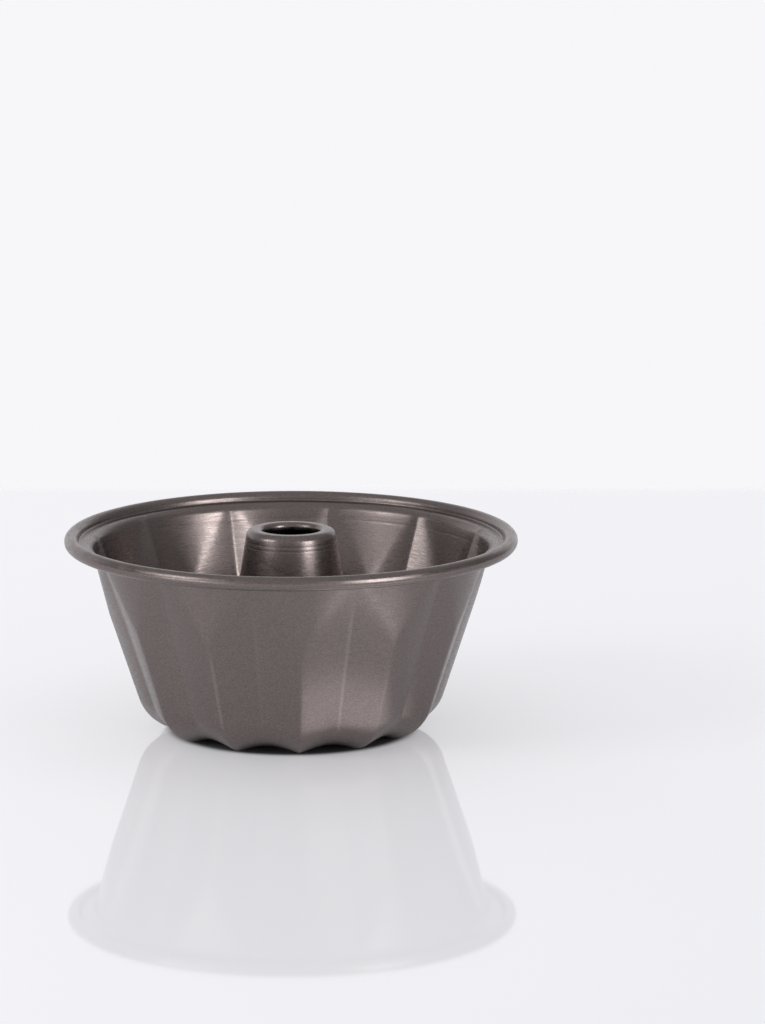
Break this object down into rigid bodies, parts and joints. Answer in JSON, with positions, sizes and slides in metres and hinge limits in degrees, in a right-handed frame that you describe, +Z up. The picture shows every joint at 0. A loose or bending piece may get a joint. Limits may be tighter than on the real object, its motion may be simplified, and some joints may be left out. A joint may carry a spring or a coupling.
{
  "type": "mini fluted tube pan",
  "caption": "Small round baking mould of coated steel: a tapered fluted wall, a wired rolled rim with a narrow ledge, and an open centre tube seamed into its floor.",
  "frame": {"origin": "on the table, under the centre of the pan", "axes": "+Z up along the pan's axis; one flute ridge points along +X"},
  "size_m": [0.1524, 0.1524, 0.0685],
  "materials": {
    "coated_shell": "metallic brown-grey non-stick coating, satin with a fine horizontal grain",
    "coated_tube": "metallic brown-grey non-stick coating, satin",
    "wire_steel": "bare drawn wire"
  },
  "bodies": {
    "root": {"pan_shell": "coated_shell", "centre_tube": "coated_tube", "rim_wire": "wire_steel"}
  },
  "joints": []
}
